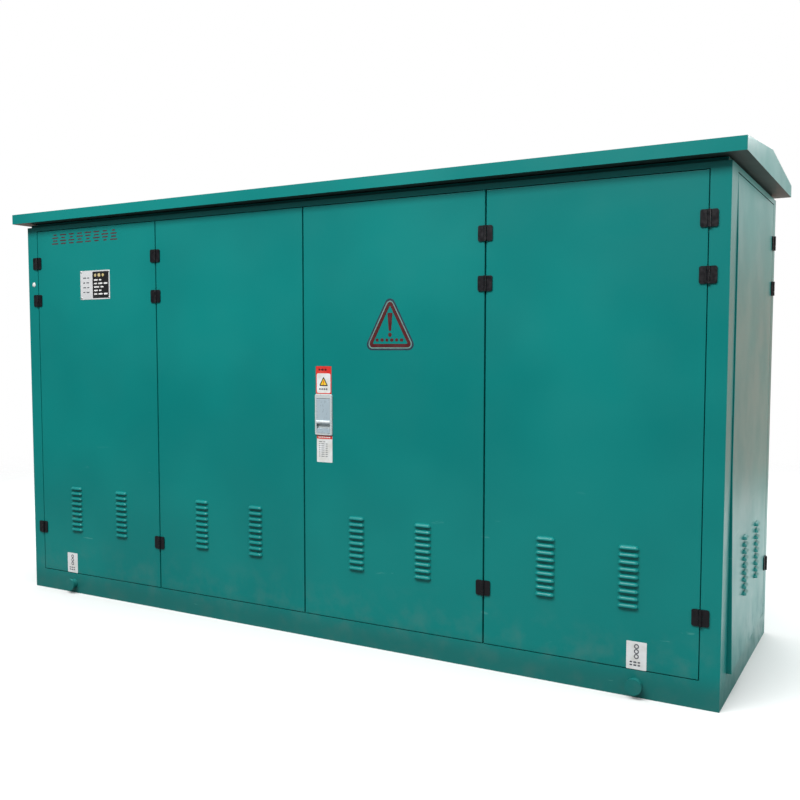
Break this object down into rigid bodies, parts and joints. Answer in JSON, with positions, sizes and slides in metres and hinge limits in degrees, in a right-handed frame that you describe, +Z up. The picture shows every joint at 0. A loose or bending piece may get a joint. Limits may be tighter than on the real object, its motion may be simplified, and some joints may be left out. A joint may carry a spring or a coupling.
{
  "type": "pad-mounted cable branch cabinet",
  "caption": "Outdoor medium-voltage cable branch cabinet with bi-fold front doors, a side door, pressed louvres and an overhanging gabled roof on a steel base frame.",
  "frame": {"origin": "ground level under the middle of the cabinet", "axes": "+X to the right facing the doors (longest), +Y into the cabinet (shortest), +Z up"},
  "size_m": [2.99, 0.99, 1.684],
  "materials": {
    "cabinet_paint": "satin green powder coat",
    "black_hinge": "satin black coated zinc alloy",
    "steel": "zinc plated steel",
    "galvanised": "galvanised steel",
    "lock_alloy": "grey-blue lacquered zinc alloy",
    "rubber": "matte black EPDM",
    "cap_rubber": "red EPDM",
    "epoxy": "brown cast epoxy",
    "sleeved_copper": "heat-shrink sleeved copper",
    "copper": "bare copper",
    "plate": "anodised aluminium",
    "label_print": "printed vinyl label"
  },
  "bodies": {
    "cabinet": {"base_frame": "cabinet_paint", "header_frame": "cabinet_paint", "front_posts": "cabinet_paint", "rear_posts": "cabinet_paint", "rear_mullion": "cabinet_paint", "roof_shell": "cabinet_paint", "roof_spacers": "cabinet_paint", "roof_bolts": "steel", "vent_screens": "cabinet_paint", "rear_cover_left": "cabinet_paint", "rear_cover_right": "cabinet_paint", "end_cover": "cabinet_paint", "cover_screws": "steel", "post_hinge_leaves": "black_hinge", "post_hinge_pins": "black_hinge", "floor_bearers": "galvanised", "floor_plates": "galvanised", "cable_grommets": "rubber", "equipment_frame": "galvanised", "cable_rail": "galvanised", "bushing_plates": "galvanised", "bushings": "epoxy", "bushing_caps": "cap_rubber", "busbars": "sleeved_copper", "earth_bar": "copper", "lifting_pins": "cabinet_paint"},
    "leaf_1": {"leaf_1_panel": "cabinet_paint", "leaf_1_back_frame": "cabinet_paint", "leaf_1_gasket": "rubber", "leaf_1_hinge_leaves": "black_hinge", "leaf_1_hinge_pins": "black_hinge", "nameplate": "plate"},
    "leaf_2": {"leaf_2_panel": "cabinet_paint", "leaf_2_back_frame": "cabinet_paint", "leaf_2_gasket": "rubber", "leaf_2_hinge_leaves": "black_hinge"},
    "leaf_3": {"leaf_3_panel": "cabinet_paint", "leaf_3_back_frame": "cabinet_paint", "leaf_3_gasket": "rubber", "leaf_3_hinge_leaves": "black_hinge", "lock_body": "lock_alloy", "lock_gearbox": "steel"},
    "leaf_4": {"leaf_4_panel": "cabinet_paint", "leaf_4_back_frame": "cabinet_paint", "leaf_4_gasket": "rubber", "leaf_4_hinge_leaves": "black_hinge", "leaf_4_hinge_pins": "black_hinge"},
    "side_door": {"side_door_panel": "cabinet_paint", "side_door_back_frame": "cabinet_paint", "side_door_gasket": "rubber", "side_door_hinge_leaves": "black_hinge"},
    "lock_handle": {"lock_handle": "lock_alloy"},
    "lock_button": {"lock_button": "lock_alloy"},
    "lock_upper_rod": {"lock_upper_rod": "steel"},
    "lock_lower_rod": {"lock_lower_rod": "steel"},
    "leaf_2_top_bolt": {"leaf_2_top_bolt": "steel"},
    "leaf_2_bottom_bolt": {"leaf_2_bottom_bolt": "steel"},
    "side_door_top_bolt": {"side_door_top_bolt": "steel"},
    "side_door_bottom_bolt": {"side_door_bottom_bolt": "steel"}
  },
  "joints": [
    {"name": "leaf_1_hinge", "type": "hinge", "parent": "cabinet", "child": "leaf_1", "pos_m": [-1.392, -0.455, 0.8], "axis": [0, 0, -1], "range_deg": [0, 105]},
    {"name": "leaf_2_hinge", "type": "hinge", "parent": "leaf_1", "child": "leaf_2", "pos_m": [-0.708, -0.455, 0.8], "axis": [0, 0, -1], "range_deg": [0, 165]},
    {"name": "leaf_4_hinge", "type": "hinge", "parent": "cabinet", "child": "leaf_4", "pos_m": [1.392, -0.455, 0.8], "axis": [0, 0, 1], "range_deg": [0, 105]},
    {"name": "leaf_3_hinge", "type": "hinge", "parent": "leaf_4", "child": "leaf_3", "pos_m": [0.708, -0.455, 0.8], "axis": [0, 0, 1], "range_deg": [0, 165]},
    {"name": "side_door_hinge", "type": "hinge", "parent": "cabinet", "child": "side_door", "pos_m": [1.455, 0.4, 0.8], "axis": [0, 0, 1], "range_deg": [0, 110]},
    {"name": "lock_handle_pivot", "type": "hinge", "parent": "leaf_3", "child": "lock_handle", "pos_m": [0.088, -0.4525, 0.874], "axis": [-1, 0, 0], "range_deg": [0, 60]},
    {"name": "lock_button_slide", "type": "slide", "parent": "leaf_3", "child": "lock_button", "axis": [0, 1, 0], "range_m": [0, 0.003], "stiffness_N_per_m": 600},
    {"name": "lock_upper_rod_slide", "type": "slide", "parent": "leaf_3", "child": "lock_upper_rod", "axis": [0, 0, -1], "range_m": [0, 0.018]},
    {"name": "lock_lower_rod_slide", "type": "slide", "parent": "leaf_3", "child": "lock_lower_rod", "axis": [0, 0, 1], "range_m": [0, 0.018]},
    {"name": "leaf_2_top_bolt_slide", "type": "slide", "parent": "leaf_2", "child": "leaf_2_top_bolt", "axis": [0, 0, 1], "range_m": [0, 0.02]},
    {"name": "leaf_2_bottom_bolt_slide", "type": "slide", "parent": "leaf_2", "child": "leaf_2_bottom_bolt", "axis": [0, 0, -1], "range_m": [0, 0.02]},
    {"name": "side_door_top_bolt_slide", "type": "slide", "parent": "side_door", "child": "side_door_top_bolt", "axis": [0, 0, 1], "range_m": [0, 0.02]},
    {"name": "side_door_bottom_bolt_slide", "type": "slide", "parent": "side_door", "child": "side_door_bottom_bolt", "axis": [0, 0, -1], "range_m": [0, 0.02]}
  ],
  "couplings": [
    {"joint": "lock_upper_rod_slide", "follows": "lock_handle_pivot", "m_per_rad": 0.0171},
    {"joint": "lock_lower_rod_slide", "follows": "lock_handle_pivot", "m_per_rad": 0.0171}
  ]
}
